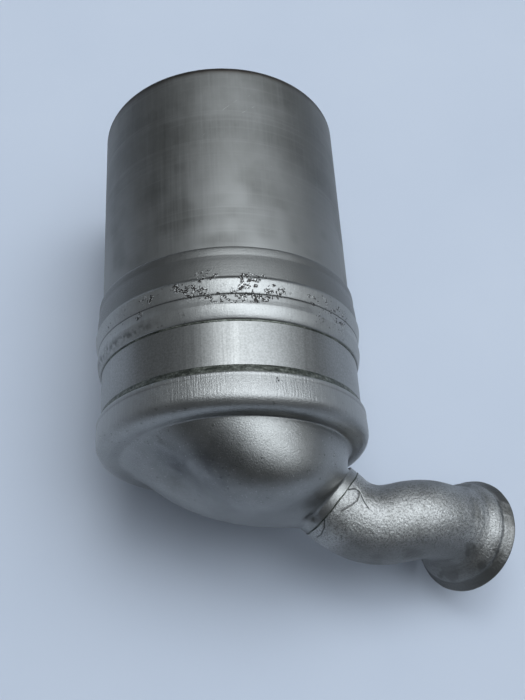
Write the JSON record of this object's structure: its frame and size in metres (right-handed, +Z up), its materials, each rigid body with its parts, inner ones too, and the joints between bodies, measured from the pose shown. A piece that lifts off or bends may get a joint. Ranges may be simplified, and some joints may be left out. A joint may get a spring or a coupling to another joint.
{
  "type": "exhaust particulate filter can",
  "caption": "Steel can holding a square-cell ceramic exhaust filter, with an open inlet spigot, a clamp flange, an offset domed outlet cone and a bent, flared outlet pipe.",
  "frame": {"origin": "on the can axis, level with the upper edge of the clamp flange, where the inlet spigot starts", "axes": "+Y along the can axis towards the inlet mouth, +X towards the side the outlet pipe leaves by, +Z up from the table the part lies on"},
  "size_m": [0.2478, 0.3035, 0.1618],
  "materials": {
    "can_steel": "dull axially brushed steel, heat-tinted at the mouth",
    "flange_steel": "satin steel with corroded scuffs on the ridge",
    "weld_steel": "dark rough weld metal",
    "mat_fibre": "pale compressed fibre",
    "seal_mesh": "knitted wire, dull",
    "block_ceramic": "unglazed dark grey ceramic",
    "block_cement": "matt grey cement",
    "cone_steel": "fine blasted satin steel",
    "pipe_steel": "rough pitted bright steel"
  },
  "bodies": {
    "root": {"filter_can": "can_steel", "flange_ring_upper": "flange_steel", "flange_ring_lower": "flange_steel", "flange_lap_weld": "weld_steel", "support_mat": "mat_fibre", "inlet_mesh_seal": "seal_mesh", "outlet_mesh_seal": "seal_mesh", "block_skin": "block_cement", "segment_cement": "block_cement", "segment_01": "block_ceramic", "segment_02": "block_ceramic", "segment_03": "block_ceramic", "segment_04": "block_ceramic", "segment_05": "block_ceramic", "segment_06": "block_ceramic", "segment_07": "block_ceramic", "segment_08": "block_ceramic", "segment_09": "block_ceramic", "segment_10": "block_ceramic", "segment_11": "block_ceramic", "segment_12": "block_ceramic", "segment_13": "block_ceramic", "segment_14": "block_ceramic", "segment_15": "block_ceramic", "segment_16": "block_ceramic", "cone_weld_bead": "weld_steel", "outlet_cone": "cone_steel", "neck_weld_bead": "weld_steel", "outlet_pipe": "pipe_steel"}
  },
  "joints": []
}
